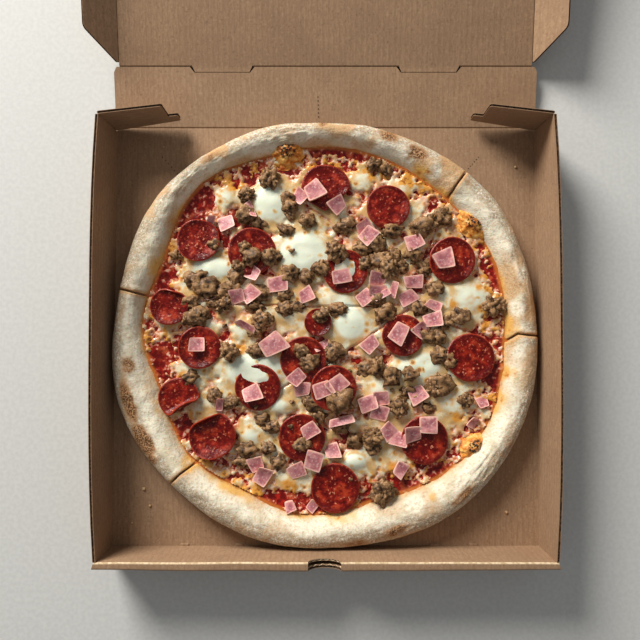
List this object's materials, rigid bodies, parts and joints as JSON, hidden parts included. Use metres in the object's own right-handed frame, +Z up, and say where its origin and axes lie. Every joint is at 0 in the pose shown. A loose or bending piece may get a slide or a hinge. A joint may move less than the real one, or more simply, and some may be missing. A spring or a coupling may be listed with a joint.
{
  "type": "pizza in its box",
  "caption": "Sliced round pizza with pepperoni, ham and sausage crumbles in an open plain corrugated takeaway box whose lid folds shut.",
  "frame": {"origin": "middle of the tray floor's underside, which rests on the table", "axes": "+X to the right and +Y to the back, where the lid is hinged, seen from the front wall with the thumb notch; +Z up"},
  "size_m": [0.3664, 0.7148, 0.0872],
  "materials": {
    "board": "matte",
    "crust": "matte",
    "sauce": "satin",
    "cheese": "satin",
    "pepperoni": "satin",
    "sausage": "matte",
    "ham": "satin"
  },
  "bodies": {
    "tray": {"tray": "board", "dough": "crust", "sauce": "sauce", "cheese": "cheese", "pepperoni_01": "pepperoni", "pepperoni_02": "pepperoni", "pepperoni_03": "pepperoni", "pepperoni_04": "pepperoni", "pepperoni_05": "pepperoni", "pepperoni_06": "pepperoni", "pepperoni_07": "pepperoni", "pepperoni_08": "pepperoni", "pepperoni_09": "pepperoni", "pepperoni_10": "pepperoni", "pepperoni_11": "pepperoni", "pepperoni_12": "pepperoni", "pepperoni_13": "pepperoni", "pepperoni_14": "pepperoni", "pepperoni_15": "pepperoni", "pepperoni_16": "pepperoni", "pepperoni_17": "pepperoni", "pepperoni_18": "pepperoni", "pepperoni_19": "pepperoni", "sausage_01": "sausage", "sausage_02": "sausage", "sausage_03": "sausage", "sausage_04": "sausage", "sausage_05": "sausage", "sausage_06": "sausage", "sausage_07": "sausage", "sausage_08": "sausage", "sausage_09": "sausage", "sausage_10": "sausage", "sausage_11": "sausage", "sausage_12": "sausage", "sausage_13": "sausage", "sausage_14": "sausage", "sausage_15": "sausage", "ham_01": "ham", "ham_02": "ham", "ham_03": "ham", "ham_04": "ham", "ham_05": "ham", "ham_06": "ham", "ham_07": "ham", "ham_08": "ham", "ham_09": "ham", "ham_10": "ham", "ham_11": "ham", "ham_12": "ham", "ham_13": "ham", "ham_14": "ham"},
    "rear_panel": {"rear_panel": "board"},
    "lid": {"lid": "board"},
    "flap_left": {"lid_flap_left": "board"},
    "flap_right": {"lid_flap_right": "board"},
    "flap_front": {"lid_flap_front": "board"},
    "tab_left": {"corner_tab_left": "board"},
    "tab_right": {"corner_tab_right": "board"}
  },
  "joints": [
    {"name": "rear_panel_hinge", "type": "hinge", "parent": "tray", "child": "rear_panel", "pos_m": [0, 0.1646, 0.0011], "axis": [1, 0, 0], "range_deg": [-9.8, 80.2]},
    {"name": "lid_hinge", "type": "hinge", "parent": "rear_panel", "child": "lid", "pos_m": [0, 0.21091, 0.0091], "axis": [1, 0, 0], "range_deg": [0, 90]},
    {"name": "flap_left_hinge", "type": "hinge", "parent": "lid", "child": "flap_left", "pos_m": [-0.163, 0.37006, 0.03659], "axis": [0, 0.9854, 0.1702], "range_deg": [-45, 45]},
    {"name": "flap_right_hinge", "type": "hinge", "parent": "lid", "child": "flap_right", "pos_m": [0.163, 0.37006, 0.03659], "axis": [0, -0.9854, -0.1702], "range_deg": [-45, 45]},
    {"name": "flap_front_hinge", "type": "hinge", "parent": "lid", "child": "flap_front", "pos_m": [0, 0.5292, 0.06408], "axis": [1, 0, 0], "range_deg": [-45, 45]},
    {"name": "tab_left_hinge", "type": "hinge", "parent": "tray", "child": "tab_left", "pos_m": [-0.1668, 0.1621, 0.022], "axis": [0, 0, -1], "range_deg": [-0.9, 6.7]},
    {"name": "tab_right_hinge", "type": "hinge", "parent": "tray", "child": "tab_right", "pos_m": [0.1668, 0.1621, 0.022], "axis": [0, 0, 1], "range_deg": [-0.9, 6.7]}
  ],
  "couplings": [
    {"joint": "tab_left_hinge", "follows": "rear_panel_hinge", "ratio": 0.082294},
    {"joint": "tab_right_hinge", "follows": "rear_panel_hinge", "ratio": 0.082294}
  ]
}
